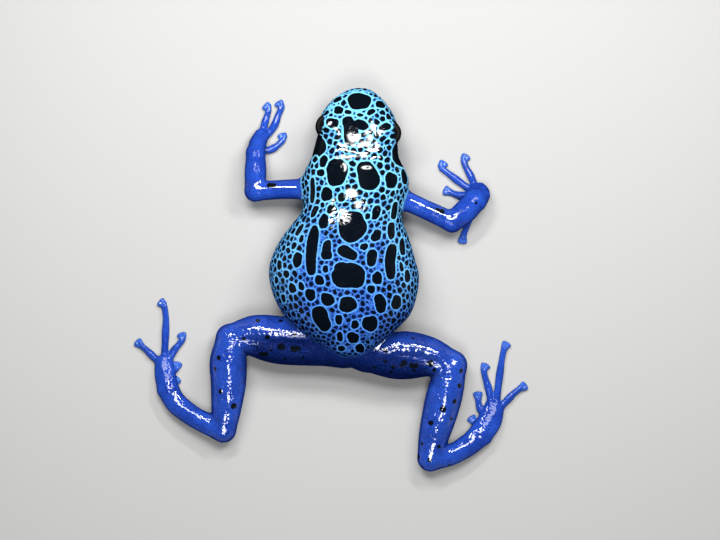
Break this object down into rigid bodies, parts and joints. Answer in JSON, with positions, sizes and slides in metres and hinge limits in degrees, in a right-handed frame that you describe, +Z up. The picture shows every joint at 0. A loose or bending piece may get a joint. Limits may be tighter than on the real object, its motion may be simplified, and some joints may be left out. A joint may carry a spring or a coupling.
{
  "type": "blue poison dart frog model",
  "caption": "Life-size still model of a blue poison dart frog lying flat with legs spread, head raised and toes flat on the floor.",
  "frame": {"origin": "on the floor, under the middle of the whole outline", "axes": "+Z up, the head points along +Y, the frog's left side is towards -X; the widest extent over both feet lies along X"},
  "size_m": [0.062, 0.06, 0.0138],
  "materials": {
    "spotted_skin": "moist, glossy, sky blue with black spots",
    "blue_skin": "moist, glossy, cobalt blue",
    "eye": "wet, very glossy, near black"
  },
  "bodies": {
    "root": {"torso": "spotted_skin", "head": "spotted_skin", "eye_left": "eye", "eye_right": "eye", "upper_arm_left": "blue_skin", "upper_arm_right": "blue_skin", "forearm_left": "blue_skin", "forearm_right": "blue_skin", "hand_left": "blue_skin", "hand_right": "blue_skin", "thigh_left": "blue_skin", "thigh_right": "blue_skin", "shin_left": "blue_skin", "shin_right": "blue_skin", "tarsus_left": "blue_skin", "tarsus_right": "blue_skin", "foot_left": "blue_skin", "foot_right": "blue_skin"}
  },
  "joints": []
}
